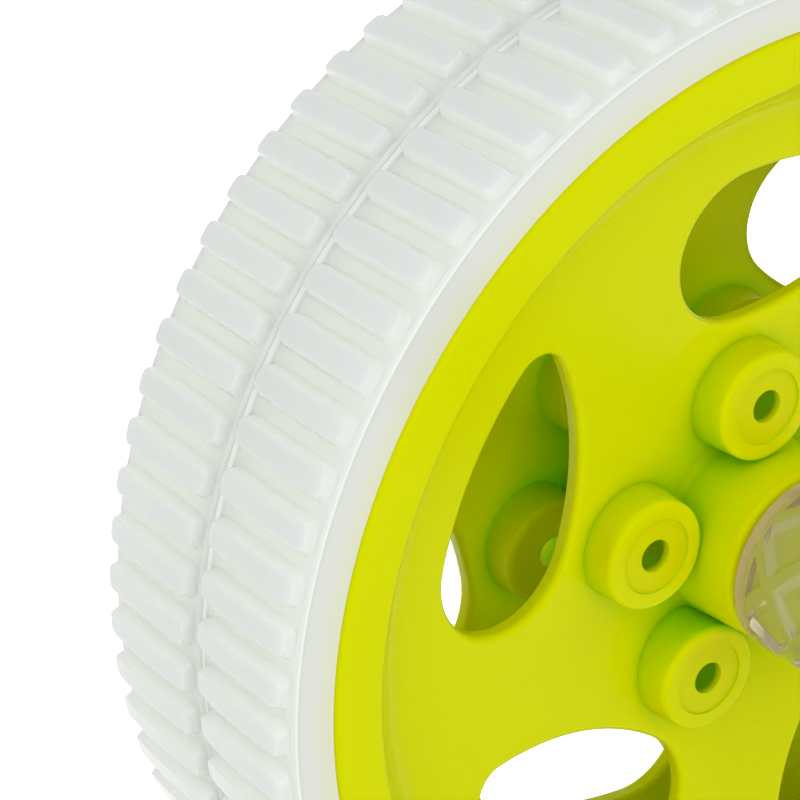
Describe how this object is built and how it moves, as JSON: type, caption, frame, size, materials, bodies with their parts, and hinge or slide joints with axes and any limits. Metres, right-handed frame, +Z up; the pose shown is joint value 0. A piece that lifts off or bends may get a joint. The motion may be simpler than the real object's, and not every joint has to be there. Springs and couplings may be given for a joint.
{
  "type": "ab wheel roller",
  "caption": "Ab roller with two spoked lime-green wheels side by side in translucent treaded tyres, free on one axle, with a clear ribbed grip at each end.",
  "frame": {"origin": "middle of the axle, halfway between the two wheels", "axes": "+Y along the axle towards the left handle, +X the way it rolls, +Z up; the pictured face looks towards -Y"},
  "size_m": [0.1834, 0.2438, 0.1834],
  "materials": {
    "lime_plastic": "moulded satin gloss",
    "translucent_rubber": "translucent, milky, satin",
    "clear_grip": "clear, smooth",
    "steel_axle": "drawn bar",
    "zinc_steel": "zinc plated",
    "acetal_bush": "turned",
    "acetal_washer": "punched"
  },
  "bodies": {
    "handle_set": {"axle_rod": "steel_axle", "centre_washer": "acetal_washer", "right_thrust_washer": "acetal_washer", "right_handle_core": "lime_plastic", "right_grip": "clear_grip", "right_screw_washer": "zinc_steel", "right_end_screw": "zinc_steel", "right_end_cap": "lime_plastic", "left_thrust_washer": "acetal_washer", "left_handle_core": "lime_plastic", "left_grip": "clear_grip", "left_screw_washer": "zinc_steel", "left_end_screw": "zinc_steel", "left_end_cap": "lime_plastic"},
    "right_wheel_set": {"right_wheel": "lime_plastic", "right_tyre": "translucent_rubber", "right_wheel_outer_bush": "acetal_bush", "right_wheel_inner_bush": "acetal_bush"},
    "left_wheel_set": {"left_wheel": "lime_plastic", "left_tyre": "translucent_rubber", "left_wheel_outer_bush": "acetal_bush", "left_wheel_inner_bush": "acetal_bush"}
  },
  "joints": [
    {"name": "right_wheel_spin", "type": "hinge", "parent": "handle_set", "child": "right_wheel_set", "pos_m": [0, -0.0122, 0], "axis": [0, 1, 0], "continuous": true},
    {"name": "left_wheel_spin", "type": "hinge", "parent": "handle_set", "child": "left_wheel_set", "pos_m": [0, 0.0122, 0], "axis": [0, 1, 0], "continuous": true}
  ]
}
